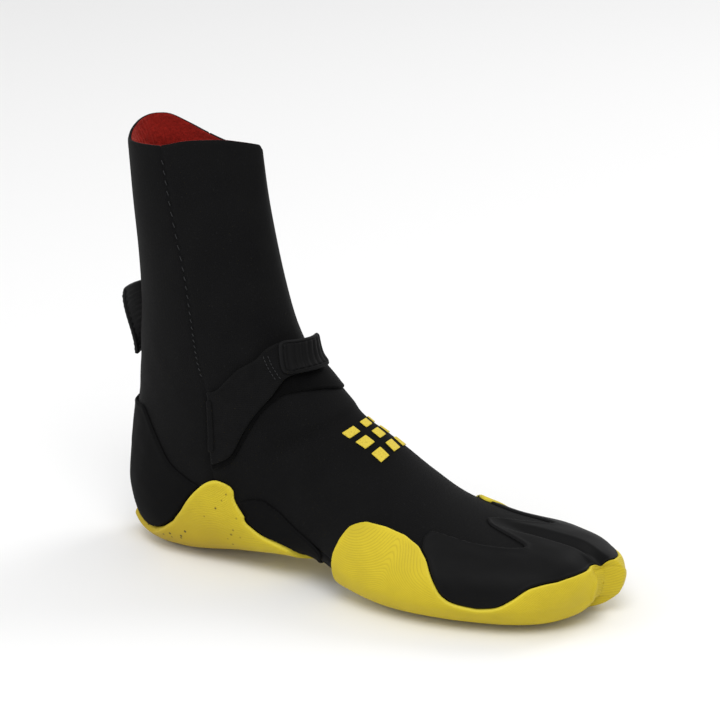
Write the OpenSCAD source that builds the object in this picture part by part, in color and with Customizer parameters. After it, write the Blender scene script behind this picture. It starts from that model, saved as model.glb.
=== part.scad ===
// Right split-toe neoprene boot with a rubber cup sole and an ankle strap.
// Frame: +X points to the toes, +Y to the inner (medial) side, +Z up.
// The origin is on the floor, under the middle of the boot's box.

/* [Fit] */
// Overall size factor, 1 is about EU 42
size_factor = 1; // [0.9:0.01:1.1]

/* [Upper] */
// Thickness of the neoprene panels
neoprene_t = 4; // [3:0.5:5]
// Thickness of the plush lining
lining_t = 1.1; // [0.8:0.1:1.4]
// Gap between two panels at a seam, in degrees round the section
seam_gap = 0.5; // [0.3:0.1:1]

/* [Split toe] */
// Half width of the cleft between the big toe and the others
cleft_half_w = 7; // [6:0.5:8]
// Share of the toe height that the cleft may not cut
cleft_web = 0.55; // [0.4:0.05:0.7]
// How far the cleft is set back at the tip
cleft_notch = 8; // [5:1:10]
// How far the smaller toes end behind the big toe
small_toe_back = 5.5; // [3:0.5:6]

/* [Rubber] */
// Thickness of the outsole under the foot
outsole_t = 3.4; // [2.5:0.1:3.4]
// Thickness of the outsole on the lobes
lobe_t = 1.7; // [1.2:0.1:2]
// Thickness of the thin rubber overlays
overlay_t = 0.9; // [0.6:0.1:1.2]

/* [Strap] */
// Thickness of the strap's webbing
strap_t = 1; // [0.8:0.1:1.2]
// Thickness of the grip tab
tab_t = 1.6; // [1.4:0.1:2]
// Number of ribs on the grip tab
tab_ribs = 8; // [6:1:10]

/* [Heel tab] */
// Width of the heel pull tab
pull_w = 22; // [16:1:26]
// Number of ribs on the heel pull tab
pull_ribs = 12; // [6:1:14]

/* [Hidden] */

// ---- The last: one smooth surface through stations from the cuff rim to the toe tip ----
// Each station is an oval between a front or top point F and a back or bottom point B.
// Columns: F.x, F.z, B.x, B.z, lateral half width, medial half width, centre line y,
// share of the way from B to F where the oval is widest, and the oval's exponents
// on the F side and on the B side.
LAST = [
    [ 77, 222,   0, 226, 26, 22,  2, 0.35, 1.7, 2.0],
    [ 81, 190,   3, 196, 28, 27,  1, 0.40, 1.8, 2.0],
    [ 88, 156,   6, 164, 30, 29,  1, 0.45, 1.8, 2.0],
    [ 96, 130,   7, 137, 31, 30,  1, 0.45, 1.8, 2.0],
    [104, 115,   6, 115, 33, 32,  1, 0.45, 1.9, 2.0],
    [116, 104,   4,  90, 34, 33,  2, 0.45, 1.9, 2.0],
    [123,  98,   0,  61, 35, 34,  2, 0.45, 1.9, 2.0],
    [129,  94,  -1,  29, 34, 33,  1, 0.42, 2.0, 2.1],
    [133,  90,  10,   8, 32, 32,  1, 0.38, 2.0, 2.3],
    [139,  86,  36,   4, 31, 31,  1, 0.35, 2.0, 2.5],
    [148,  81,  74, 9.5, 31, 32,  1, 0.34, 2.0, 2.5],
    [158,  74, 113,  13, 34, 34,  1, 0.34, 2.0, 2.5],
    [171,  64, 143,   7, 42, 40,  0, 0.34, 2.0, 2.6],
    [188,  53, 170,   4, 46, 44,  0, 0.35, 2.0, 2.7],
    [211,  45, 200,   4, 47, 45,  2, 0.38, 2.1, 2.7],
    [238,  42, 229,   4, 43, 42,  5, 0.42, 2.2, 2.6],
    [258,  39, 249,   5, 35, 34,  7, 0.45, 2.2, 2.5],
    [270,  32, 262,   8, 26, 25,  9, 0.48, 2.2, 2.4],
    [275,  27, 272,  12, 14, 13, 11, 0.50, 2.2, 2.2]
];
last_end = len(LAST) - 1;
tip_end = last_end + 1;
tip_reach = 2;

// Grid of the whole skin: rows along the boot, in stations, and columns round it, in degrees.
// 0 degrees is the front or top, 90 the medial side, 180 the back or bottom, 270 the lateral side.
ROWS = [-0.35, 0.3, 1, 2, 3, 3.5, 4, 4.5, 5, 5.5, 6, 6.7, 7.3, 7.7, 8.1, 8.5, 9, 9.4, 9.7, 10.05,
    10.4, 10.7, 11, 11.2, 11.4, 11.7, 12, 12.6, 13.2, 13.8, 14.4, 15, 15.6, 16.2, 16.7, 17.2, 17.6, 18, 18.4, 18.7, tip_end];
HALF = [5, 10, 16, 24, 36, 50, 64, 76, 88, 100, 112, 124, 137, 149, 159, 167, 174];
COLUMNS = concat([0], HALF, [180], [for (i = [len(HALF) - 1:-1:0]) 360 - HALF[i]], [360]);

// Clearances between the layers of the stack
layer_gap = 0.3;
tape_gap = 0.5;
tape_t = 0.5;
hook_t = 0.5;
loop_t = 0.5;
footbed_t = 2;
print_t = 0.3;
stitch_t = 0.35;

// Height of the floor in the stations' frame, and the middle of the boot's box
floor_z = 0.6;
origin = [136, 0.65, floor_z];

// ---- The last's surface ----
// Catmull-Rom through the stations, closed by a small dome at the toe tip
function station(t) =
    let (i = min(max(floor(t), 0), last_end - 1), f = t - i, b = LAST[i], c = LAST[i + 1])
    let (a = i > 0 ? LAST[i - 1] : 2 * b - c)
    let (d = i < last_end - 1 ? LAST[i + 2] : 2 * c - b)
    (2 * b + (c - a) * f + (2 * a - 5 * b + 4 * c - d) * f * f
        + (3 * b - a - 3 * c + d) * f * f * f) / 2;

function dome(t) =
    let (s = LAST[last_end], k = cos(90 * (t - last_end)), r = tip_reach * sin(90 * (t - last_end)))
    let (mid_x = (s[0] + s[2]) / 2, mid_z = (s[1] + s[3]) / 2)
    [mid_x + (s[0] - mid_x) * k + r, mid_z + (s[1] - mid_z) * k, mid_x + (s[2] - mid_x) * k + r,
        mid_z + (s[3] - mid_z) * k, s[4] * k, s[5] * k, s[6], s[7], s[8], s[9]];

function section(t) = t <= last_end ? station(t) : dome(t);

function oval(s, v) =
    let (c = cos(v), q = sin(v), e = 2 / (c >= 0 ? s[8] : s[9]), w = q >= 0 ? s[5] : s[4])
    let (a = c >= 0 ? s[7] + (1 - s[7]) * pow(c, e) : s[7] - s[7] * pow(-c, e))
    size_factor * [s[2] + (s[0] - s[2]) * a, s[6] + sign(q) * w * pow(abs(q), e),
        s[3] + (s[1] - s[3]) * a];

function outward(t, v) =
    t > tip_end - 0.1 ? [1, 0, 0] :
    let (s = section(t), along = oval(section(t + 0.04), v) - oval(section(t - 0.04), v))
    let (n = cross(along, oval(s, v + 1) - oval(s, v - 1)))
    n / norm(n);

// ---- The cleft between the big toe and the others, along the centre line ----
function smooth(x) = let (u = min(max(x, 0), 1)) u * u * (3 - 2 * u);
function bell(x) = x >= 1 ? 0 : (1 + cos(180 * x)) / 2;
web_min = 2 * (neoprene_t + layer_gap + lining_t) + 2;
cleft_top_share = 0.25;
notch_flare = [8, 3]; // how much wider than the cleft the notch is, lateral and medial

function cleft(p, t, v, d) =
    let (s = section(t), high = size_factor * (s[1] - s[3]))
    let (cut = max(0, high - max(web_min, cleft_web * high)) * smooth((t - 13.7) / 1.6))
    let (w = cleft_half_w - d, side = p.y - size_factor * s[6])
    let (notch = bell(abs(side) / (w + (side < 0 ? notch_flare[0] : notch_flare[1]))))
    p + [-cleft_notch * smooth((t - 16.2) / 2) * notch
            - small_toe_back * smooth((t - 15) / 3) * smooth(-side / 8), 0,
        cut * bell(abs(side) / w) * (cos(v) >= 0 ? -cleft_top_share : 1 - cleft_top_share)];

// A point of the skin at distance d outside the neoprene's face
function skin(t, v, d) = cleft(oval(section(t), v) + d * outward(t, v), t, v, d) - origin;
function on_floor(p) = [p.x, p.y, max(p.z, 0)];

// ---- Shells cut from the grid by a mask ----
// mask(t, v) is positive inside the piece. Each grid cell keeps the part where it is positive.
// inner(t, v) and outer(t, v) give the points of the two faces.
function crossing(a, b, fa, fb) = let (s = min(max(fa / (fa - fb), 0.08), 0.92)) a + (b - a) * s;
function edge_cut(a, b, fa, fb) =
    (fa > 0) == (fb > 0) ? [] :
    (a.x + a.y / 1000 < b.x + b.y / 1000) ? [concat(crossing(a, b, fa, fb), 1)]
        : [concat(crossing(b, a, fb, fa), 1)];

function cell(c, f) = [for (k = [0:3]) each concat(f[k] > 0 ? [concat(c[k], 0)] : [],
    edge_cut(c[k], c[(k + 1) % 4], f[k], f[(k + 1) % 4]))];

function cells(rows, cols, mask) =
    let (m = [for (t = rows) [for (v = cols) mask(t, v)]])
    [for (i = [0:len(rows) - 2]) for (j = [0:len(cols) - 2])
        let (f = [m[i][j], m[i + 1][j], m[i + 1][j + 1], m[i][j + 1]])
        if (max(f) > 0)
            cell([[rows[i], cols[j]], [rows[i + 1], cols[j]], [rows[i + 1], cols[j + 1]],
                [rows[i], cols[j + 1]]], f)];

function at_tip(a, b) = a[0] == tip_end && b[0] == tip_end;

function face_fan(ring, flip) =
    [for (k = [1:len(ring) - 2]) if (!at_tip(ring[k], ring[k + 1]) && !at_tip(ring[0], ring[k])
        && !at_tip(ring[0], ring[k + 1])) flip ? [0, k, k + 1] : [0, k + 1, k]];

module shell(rows, cols, mask, inner, outer) {
    rings = cells(rows, cols, mask);
    tris = [for (ring = rings)
        let (n = len(ring), lo = [for (p = ring) inner(p[0], p[1])],
            hi = [for (p = ring) outer(p[0], p[1])])
        each concat(
            [for (f = face_fan(ring, false)) [hi[f[0]], hi[f[1]], hi[f[2]]]],
            [for (f = face_fan(ring, true)) [lo[f[0]], lo[f[1]], lo[f[2]]]],
            [for (k = [0:n - 1]) let (q = (k + 1) % n) if (ring[k][2] == 1 && ring[q][2] == 1)
                each [[hi[k], hi[q], lo[q]], [hi[k], lo[q], lo[k]]]])];
    polyhedron([for (t = tris) each t], [for (i = [0:len(tris) - 1]) [3 * i, 3 * i + 1, 3 * i + 2]]);
}

// A shell of constant thickness on the skin's own grid
module layer(mask, d0, d1) {
    shell(ROWS, COLUMNS, mask, function(t, v) skin(t, v, d0), function(t, v) skin(t, v, d1));
}

// Pieces with a grid of their own: grid lines from a to b with one guard line outside each end,
// and the mask of a rectangle of stations and degrees
function lines(a, b, n) = [for (i = [-1:n + 1]) a + (b - a) * i / n];
function in_rect(t, v, t0, t1, v0, v1) =
    min(station_deg * min(t - t0, t1 - t), v - v0, v1 - v) + 0.5;

module tile(t0, t1, nt, v0, v1, nv, d0, d1) {
    shell(lines(t0, t1, nt), lines(v0, v1, nv), function(t, v) in_rect(t, v, t0, t1, v0, v1),
        function(t, v) skin(t, v, d0), function(t, v) skin(t, v, d1));
}

// Small blocks on the skin, such as stitches: each is [t, v, half length, half width],
// in stations and degrees
BLOCK_FACES = [[0, 1, 2], [0, 2, 3], [4, 6, 5], [4, 7, 6], [0, 4, 5], [0, 5, 1], [1, 5, 6], [1, 6, 2],
    [2, 6, 7], [2, 7, 3], [3, 7, 4], [3, 4, 0]];
function block_points(b, d0, d1) = [for (d = [d0, d1]) each
    [skin(b[0] - b[2], b[1] - b[3], d), skin(b[0] + b[2], b[1] - b[3], d),
        skin(b[0] + b[2], b[1] + b[3], d), skin(b[0] - b[2], b[1] + b[3], d)]];
module blocks(list, d0, d1) {
    polyhedron([for (b = list) each block_points(b, d0, d1)],
        [for (i = [0:len(list) - 1]) for (f = BLOCK_FACES) [for (k = f) k + 8 * i]]);
}

// ---- Outlines, in stations (t) and degrees (v) ----
station_deg = 30; // one station counts as this many degrees in a mask
edge_gap = 1.5;   // gap between two rubber pieces, in the same degrees

function from_top(v) = min(v % 360, 360 - v % 360);
function from_bottom(v) = 180 - from_top(v);
function lateral(v) = v % 360 > 180;

// Cuff rim: the station at which the cut edge lies, for each angle
RIM = [[0, -0.1], [20, 0], [45, 0.16], [70, 0.18], [103, 0], [125, -0.14], [150, -0.13], [171, -0.06],
    [190, 0.03], [213, 0.12], [244, 0.05], [268, 0], [278, 0], [285, -0.07], [296, -0.16],
    [320, -0.22], [335, -0.18], [360, -0.1]];
function below_rim(t, v) = station_deg * (t - lookup(v % 360, RIM));

// Side seam between the front panel and the two others, in degrees from the top
SIDE_SEAM = [[0, 82], [8, 82], [9.7, 106], [tip_end, 106]];
heel_seam = 8.3;
panel_end = 17.75;
function seam(t) = lookup(t, SIDE_SEAM);

// Outsole: how far up each side it reaches, in degrees from the bottom
SOLE_LATERAL = [[8, 103], [8.4, 102], [8.7, 98.8], [8.9, 97], [9.15, 94.5], [9.4, 91], [9.8, 81],
    [10.15, 71], [10.45, 63], [10.7, 54], [10.85, 42], [11, 26], [11.15, 16], [11.3, 14], [11.34, 104],
    [11.5, 111], [11.8, 121], [12.3, 128], [12.8, 132], [13.2, 130], [13.5, 122], [13.8, 106],
    [14.05, 92], [14.3, 86], [14.7, 81], [15, 84], [15.3, 93], [15.6, 109], [15.9, 115],
    [16.3, 122], [16.7, 136], [17, 150], [17.2, 166], [17.3, 190]];
SOLE_MEDIAL = [[8, 103], [8.4, 102], [8.7, 98.8], [9, 96], [9.4, 90], [9.8, 79], [10.2, 65],
    [10.5, 52], [10.8, 36], [11.2, 16], [11.8, 18], [12.4, 34], [12.5, 90], [12.7, 104], [12.9, 116],
    [13.05, 130], [13.2, 142], [13.35, 149], [13.5, 148], [13.65, 138], [13.8, 124], [14, 110],
    [14.3, 99], [14.6, 92], [14.9, 89], [15.3, 88], [15.7, 92], [16, 104], [16.3, 112], [16.7, 122],
    [17, 131], [17.2, 146], [17.3, 190]];
// Heel: the station at which the outsole starts, for each angle from the bottom
HEEL_EDGE = [[0, 7.5], [20, 7.6], [30, 8], [40, 8.2], [52, 8.27], [66, 8.25], [77, 8.07], [87, 7.78],
    [93, 7.62], [96, 7.6], [99, 7.66], [101, 7.83], [103, 8.1], [106, 8.6]];
// Ball, lateral side: the station at which its lobe starts, for each angle from the bottom
BALL_EDGE = [[0, 11], [13, 11], [16, 11.88], [35, 11.88], [45, 11.84], [60, 11.75], [75, 11.64],
    [90, 11.54], [100, 11.5], [110, 11.52], [116, 11.6]];
ball_side_from = 11.2; // the ball's edge counts from this station
function sole_reach(t, v) = lookup(t, lateral(v) ? SOLE_LATERAL : SOLE_MEDIAL) - from_bottom(v);
function past_edge(t, v, edge) = station_deg * (t - lookup(from_bottom(v), edge));
function in_sole(t, v) = min(sole_reach(t, v), past_edge(t, v, HEEL_EDGE),
    lateral(v) && t > ball_side_from ? past_edge(t, v, BALL_EDGE) : station_deg);

// Toe overlay: the station at which it starts, for each angle from the top
TOE_EDGE = [[0, 13.85], [5, 14], [12, 14.5], [18, 14.85], [22, 14.95], [26, 14.7], [29, 14.2],
    [31, 13.6], [34, 13.2], [42, 13.15], [52, 13.3], [62, 13.5], [180, 13.7]];
// Heel counter: how far round from the back it reaches
COUNTER_EDGE = [[5.4, 44], [5.6, 52], [6.1, 63], [6.6, 73], [7.1, 84], [7.6, 92]];
counter_top = 5.42;
// Arch overlays: their upper edge, in degrees from the bottom, and their ends
ARCH_EDGE = [[8.9, 100], [9.25, 104], [10, 97], [10.6, 88], [11.2, 75], [11.6, 66]];
arch_from = 8.9;
arch_to = 11.35;
arch_gap = 0.5; // distance between an arch overlay and the neoprene

// Strap stack over the instep: distances outside the neoprene's face
landing_d = layer_gap;
loop_d = landing_d + strap_t + layer_gap;
hook_d = loop_d + loop_t + layer_gap;
strap_d = hook_d + hook_t + layer_gap;
tab_d = strap_d + strap_t + layer_gap;
rib_h = 0.4;

// Upper and lower edge of the two straps, in stations, for each signed angle from the front;
// negative angles are on the lateral side
STRAP_UPPER = [[-76, 4.85], [-67, 4.45], [-58, 4.1], [-45, 3.8], [-37, 3.45], [-26, 3.26], [10, 3.45],
    [20, 3.5]];
STRAP_LOWER = [[-76, 7.1], [-71, 7.05], [-68, 6.6], [-60, 5.9], [-52, 5.35], [-42, 4.8], [-34, 4.5],
    [-26, 4.42], [10, 4.55], [20, 4.6]];
LANDING_UPPER = [[-82, 5], [-72, 5], [-60, 4.3], [-52, 4.1], [-41, 3.75], [-28, 3.6], [0, 3.6],
    [25, 3.7], [45, 4.2], [60, 4.5], [72, 4.8], [80, 4.9]];
LANDING_LOWER = [[-82, 7.3], [-72, 7.3], [-68, 6.85], [-60, 6.1], [-52, 5.5], [-41, 5.05], [-28, 5.05],
    [-12, 5.2], [0, 5.5], [12, 5.75], [25, 5.9], [45, 6], [60, 6.2], [72, 6.8], [80, 7.1]];
function signed(v) = v > 180 ? v - 360 : v;
function in_band(t, v, upper, lower, a, b) =
    let (u = signed(v))
    min(station_deg * min(t - lookup(u, upper), lookup(u, lower) - t), u - a, b - u);
function strap_base(v) = loop_d + (strap_d - loop_d) * smooth((signed(v) + 60) / 22);
// In front the strap stands off the boot at its upper edge
strap_lean = 2.6;
function lean(t, v) = strap_lean * smooth((signed(v) + 40) / 40) * smooth((4.4 - t) / 1.1);
function strap_skin(t, v, d) = skin(t, v, d + lean(t, v));

// A grid for the straps, finer than the skin's
STRAP_ROWS = lines(2.9, 7.3, 15);
module band(a, b, n, upper, lower, inner, outer) {
    shell(STRAP_ROWS, lines(a, b, n), function(t, v) in_band(t, v, upper, lower, a - 0.5, b + 0.5),
        inner, outer);
}

// ---- Neoprene ----
module front_panel() {
    color("#1c1c1e") layer(function(t, v) min(below_rim(t, v), seam(t) - seam_gap - from_top(v),
        station_deg * (panel_end - t)), -neoprene_t, 0);
}

module heel_panel() {
    color("#18181a") layer(function(t, v) min(below_rim(t, v), from_top(v) - seam(t) - seam_gap,
        station_deg * (heel_seam - t)), -neoprene_t, 0);
}

module sole_panel() {
    color("#202022") layer(function(t, v) min(from_top(v) - seam(t) - seam_gap,
        station_deg * (min(t - heel_seam - seam_gap / 10, panel_end - t))), -neoprene_t, 0);
}

// ---- Inside ----
lining_d = -neoprene_t - layer_gap;
lining_join = 6.35;
lining_end = 17;

module shaft_lining() {
    color("#b02018") layer(function(t, v) min(below_rim(t, v), station_deg * (lining_join - t)),
        lining_d - lining_t, lining_d);
}

module foot_lining() {
    color("#a01c16") layer(function(t, v) station_deg * min(t - lining_join - 0.04, lining_end - t),
        lining_d - lining_t, lining_d);
}

footbed_d = lining_d - lining_t - layer_gap;
module footbed() {
    color("#303034") layer(function(t, v) min(44 - from_bottom(v), station_deg * min(t - 8.6, 15.2 - t)),
        footbed_d - footbed_t, footbed_d);
}

tape_half = 7; // degrees each side of the seam
module seam_tape(v) {
    d = lining_d - lining_t - tape_gap;
    shell([for (t = ROWS) if (t > 0.2 && t < 8) t], lines(v - tape_half, v + tape_half, 4),
        function(t, a) min(tape_half + 1 - abs(a - v), station_deg * min(t - 0.6, 7.5 - t)),
        function(t, a) skin(t, a, d - tape_t), function(t, a) skin(t, a, d));
}

module lateral_seam_tape() {
    color("#262628") seam_tape(360 - seam(0));
}

module medial_seam_tape() {
    color("#262628") seam_tape(seam(0));
}

// ---- Rubber ----
// The outsole is thick under the foot, and thin on the lobes and at the toe tip
function sole_t(t, v) =
    outsole_t + (lobe_t - outsole_t) * max(smooth((from_bottom(v) - 45) / 30), smooth((t - 17.2) / 1.2));
module outsole() {
    color("#e0c21c") shell(ROWS, COLUMNS, function(t, v) in_sole(t, v),
        function(t, v) skin(t, v, layer_gap),
        function(t, v) on_floor(skin(t, v, layer_gap + sole_t(t, v))));
}

module overlay(mask, base = layer_gap) {
    layer(function(t, v) min(mask(t, v), -edge_gap - in_sole(t, v)), base, base + overlay_t);
}

module toe_overlay() {
    color("#2c2c2e") overlay(function(t, v) station_deg * (t - lookup(from_top(v), TOE_EDGE)));
}

module heel_counter() {
    color("#2a2a2c") overlay(function(t, v) min(station_deg * (t - counter_top),
        lookup(t, COUNTER_EDGE) - from_bottom(v), station_deg * (8.4 - t)));
}

module arch_overlay(is_lateral) {
    overlay(function(t, v) lateral(v) != is_lateral ? -1 :
        min(lookup(t, ARCH_EDGE) - from_bottom(v), from_bottom(v) - 30,
            station_deg * min(t - arch_from, arch_to - t)), arch_gap);
}

module arch_overlay_lateral() {
    color("#2c2c2e") arch_overlay(true);
}

module arch_overlay_medial() {
    color("#2c2c2e") arch_overlay(false);
}

// ---- Heel pull tab: a ribbed slab that leans away from the shaft ----
pull_t = 2.8;
pull_base = [3.4, 104];
pull_top = [-3.5, 138];
pull_rib = 0.6;
function pull_line(u) = size_factor * [pull_base.x + (pull_top.x - pull_base.x) * smooth(1.1 * u),
    pull_base.y + (pull_top.y - pull_base.y) * u];

module heel_pull_tab() {
    n = 2 * pull_ribs;
    steps = [for (i = [0:n]) concat(pull_line(i / n), i % 2 == 0 || i > n - 2 ? 0 : pull_rib)];
    color("#1e1e20") translate([-origin.x, -origin.y, -origin.z]) rotate([90, 0, 0])
        linear_extrude(pull_w, center = true)
            polygon(concat([for (p = steps) [p.x - pull_t / 2 - p.z, p.y]],
                [for (i = [n:-1:0]) [steps[i].x + pull_t / 2 + steps[i].z / 2, steps[i].y]]));
}

// ---- Ankle strap ----
module instep_strap() {
    color("#303032") band(-76, 10, 14, STRAP_UPPER, STRAP_LOWER,
        function(t, v) strap_skin(t, v, strap_base(v)),
        function(t, v) strap_skin(t, v, strap_base(v) + strap_t));
}

// The tab's ends slant, by this many degrees per station, and its long sides tilt, by this many
// stations per degree
tab_from = -30;
tab_to = 12;
tab_slant = 6;
tab_tilt = 0.0045;
tab_top = 3.32;
tab_bottom = 4.48;
function tab_skin(t, u, d) = strap_skin(t + tab_tilt * (u - (tab_from + tab_to) / 2),
    u - tab_slant * (t - (tab_top + tab_bottom) / 2), d);
function tab_rib(u) = abs((u - tab_from) / (tab_to - tab_from) * tab_ribs % 1 - 0.5) < 0.3 ? rib_h : 0;
module strap_grip_tab() {
    color("#38383a") shell(lines(tab_top, tab_bottom, 3), lines(tab_from, tab_to, 4 * tab_ribs),
        function(t, u) in_rect(t, u, tab_top, tab_bottom, tab_from, tab_to),
        function(t, u) tab_skin(t, u, tab_d),
        function(t, u) tab_skin(t, u, tab_d + tab_t + tab_rib(u)));
}

module hook_patch() {
    color("#101012") shell(lines(3.7, 4.35, 3), lines(-26, 6, 8),
        function(t, v) in_rect(t, v, 3.7, 4.35, -26, 6),
        function(t, v) strap_skin(t, v, hook_d), function(t, v) strap_skin(t, v, hook_d + hook_t));
}

module landing_strap() {
    color("#26262a") band(-81.4, 76, 24, LANDING_UPPER, LANDING_LOWER,
        function(t, v) skin(t, v, landing_d), function(t, v) skin(t, v, landing_d + strap_t));
}

module loop_patch() {
    color("#141416") tile(3.75, 4.4, 3, -28, 8, 9, loop_d, loop_d + loop_t);
}

anchor_t = 0.5;
module strap_anchor(v0, v1) {
    tile(5.1, 6.7, 5, v0, v1, 2, loop_d, loop_d + anchor_t);
}

module strap_anchor_lateral() {
    color("#242426") strap_anchor(-81.4, -79);
}

module strap_anchor_medial() {
    color("#242426") strap_anchor(70, 76);
}

// ---- Thread ----
stitch_d = 0.3;
seam_stitches = 26;
module seam_stitch_row(v) {
    blocks([for (i = [0:seam_stitches - 1]) [0.25 + 4.3 * i / seam_stitches, v, 0.035, 0.9]],
        stitch_d, stitch_d + stitch_t);
}

module lateral_seam_stitches() {
    color("#3c3c40") seam_stitch_row(360 - seam(0));
}

module medial_seam_stitches() {
    color("#3c3c40") seam_stitch_row(seam(0));
}

module strap_stitches() {
    color("#3c3c40") blocks([for (v = [-40, -37]) for (i = [-3:3]) [4.1 + 0.12 * i, v, 0.035, 0.5]],
        strap_d + strap_t + stitch_d, strap_d + strap_t + stitch_d + stitch_t);
}

// ---- Print: nine small plain squares on the instep ----
print_first = [8.95, -19];   // station and angle of the first square's middle
print_pitch = [0.85, 17];
print_half = [0.27, 5];

module instep_print() {
    color("#e0c21c") blocks([for (i = [0:2]) for (j = [0:2])
        [print_first.x + print_pitch.x * i, print_first.y + print_pitch.y * j,
            print_half.x, print_half.y]], layer_gap, layer_gap + print_t);
}

front_panel();
heel_panel();
sole_panel();
shaft_lining();
foot_lining();
footbed();
lateral_seam_tape();
medial_seam_tape();
outsole();
toe_overlay();
heel_counter();
arch_overlay_lateral();
arch_overlay_medial();
heel_pull_tab();
instep_strap();
strap_grip_tab();
hook_patch();
landing_strap();
loop_patch();
strap_anchor_lateral();
strap_anchor_medial();
lateral_seam_stitches();
medial_seam_stitches();
strap_stitches();
instep_print();
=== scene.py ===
import bpy
import numpy as np
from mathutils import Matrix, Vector


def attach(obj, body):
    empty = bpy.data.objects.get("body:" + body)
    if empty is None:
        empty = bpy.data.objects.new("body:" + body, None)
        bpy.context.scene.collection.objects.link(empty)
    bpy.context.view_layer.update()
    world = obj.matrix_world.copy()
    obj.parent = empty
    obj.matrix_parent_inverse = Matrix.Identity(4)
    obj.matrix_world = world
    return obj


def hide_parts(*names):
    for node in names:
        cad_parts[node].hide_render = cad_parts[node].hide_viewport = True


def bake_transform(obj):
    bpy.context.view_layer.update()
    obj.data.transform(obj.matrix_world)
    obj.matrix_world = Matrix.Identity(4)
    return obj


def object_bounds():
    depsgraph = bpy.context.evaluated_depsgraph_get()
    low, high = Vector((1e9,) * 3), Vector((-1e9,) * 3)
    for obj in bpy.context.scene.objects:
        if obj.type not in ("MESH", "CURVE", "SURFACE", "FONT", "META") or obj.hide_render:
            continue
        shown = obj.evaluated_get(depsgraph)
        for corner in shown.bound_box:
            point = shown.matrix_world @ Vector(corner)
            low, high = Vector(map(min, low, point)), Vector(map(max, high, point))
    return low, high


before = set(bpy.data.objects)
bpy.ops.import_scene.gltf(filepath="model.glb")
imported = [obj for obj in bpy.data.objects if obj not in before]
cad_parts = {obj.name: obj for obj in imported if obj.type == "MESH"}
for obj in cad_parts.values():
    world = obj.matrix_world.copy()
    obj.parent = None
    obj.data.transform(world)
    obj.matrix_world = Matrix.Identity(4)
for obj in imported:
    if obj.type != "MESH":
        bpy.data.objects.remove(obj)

cad_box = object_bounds()
MM = 0.001

# ---- The last: the same surface as the CAD model's, in millimetres ----
# Columns: F.x, F.z, B.x, B.z, lateral half width, medial half width, centre line y,
# share of the way from B to F where the oval is widest, and its exponents on the two sides.
# Most of the first seven columns were fitted by a separate program, then rounded and partly changed.
# They are data and not a design.
LAST = np.array([
    [77, 222, 0, 226, 26, 22, 2, 0.35, 1.7, 2.0],
    [81, 190, 3, 196, 28, 27, 1, 0.40, 1.8, 2.0],
    [88, 156, 6, 164, 30, 29, 1, 0.45, 1.8, 2.0],
    [96, 130, 7, 137, 31, 30, 1, 0.45, 1.8, 2.0],
    [104, 115, 6, 115, 33, 32, 1, 0.45, 1.9, 2.0],
    [116, 104, 4, 90, 34, 33, 2, 0.45, 1.9, 2.0],
    [123, 98, 0, 61, 35, 34, 2, 0.45, 1.9, 2.0],
    [129, 94, -1, 29, 34, 33, 1, 0.42, 2.0, 2.1],
    [133, 90, 10, 8, 32, 32, 1, 0.38, 2.0, 2.3],
    [139, 86, 36, 4, 31, 31, 1, 0.35, 2.0, 2.5],
    [148, 81, 74, 9.5, 31, 32, 1, 0.34, 2.0, 2.5],
    [158, 74, 113, 13, 34, 34, 1, 0.34, 2.0, 2.5],
    [171, 64, 143, 7, 42, 40, 0, 0.34, 2.0, 2.6],
    [188, 53, 170, 4, 46, 44, 0, 0.35, 2.0, 2.7],
    [211, 45, 200, 4, 47, 45, 2, 0.38, 2.1, 2.7],
    [238, 42, 229, 4, 43, 42, 5, 0.42, 2.2, 2.6],
    [258, 39, 249, 5, 35, 34, 7, 0.45, 2.2, 2.5],
    [270, 32, 262, 8, 26, 25, 9, 0.48, 2.2, 2.4],
    [275, 27, 272, 12, 14, 13, 11, 0.50, 2.2, 2.2],
], float)
LAST_END = len(LAST) - 1
TIP_END = LAST_END + 1
TIP_REACH = 2.0
ORIGIN = np.array([136, 0.65, 0.6])

NEOPRENE, LINING, GAP = 4.0, 1.1, 0.3
CLEFT_HALF_W, CLEFT_WEB, CLEFT_TOP_SHARE = 7.0, 0.55, 0.25
CLEFT_NOTCH, NOTCH_FLARE_LATERAL, NOTCH_FLARE_MEDIAL, SMALL_TOE_BACK = 8.0, 8.0, 3.0, 5.5
WEB_MIN = 2 * (NEOPRENE + GAP + LINING) + 2


def station(t):
    """The stations' values at t, by Catmull-Rom."""
    i = np.clip(np.floor(t).astype(int), 0, LAST_END - 1)
    f = (t - i)[..., None]
    b, c = LAST[i], LAST[i + 1]
    a = np.where((i > 0)[..., None], LAST[np.maximum(i - 1, 0)], 2 * b - c)
    d = np.where((i < LAST_END - 1)[..., None], LAST[np.minimum(i + 2, LAST_END)], 2 * c - b)
    return (2 * b + (c - a) * f + (2 * a - 5 * b + 4 * c - d) * f**2 + (3 * b - a - 3 * c + d) * f**3) / 2


def section(t):
    """The oval at t: a station, or past the last one a ring of the small dome that closes the toe."""
    s = station(np.minimum(t, LAST_END))
    u = np.clip(t - LAST_END, 0, 1) * np.pi / 2
    shrink, reach = np.cos(u), TIP_REACH * np.sin(u)
    mid_x, mid_z = (s[..., 0] + s[..., 2]) / 2, (s[..., 1] + s[..., 3]) / 2
    out = s.copy()
    for k in (0, 2):
        out[..., k] = mid_x + (s[..., k] - mid_x) * shrink + reach
        out[..., k + 1] = mid_z + (s[..., k + 1] - mid_z) * shrink
    out[..., 4] *= shrink
    out[..., 5] *= shrink
    return out


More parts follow.
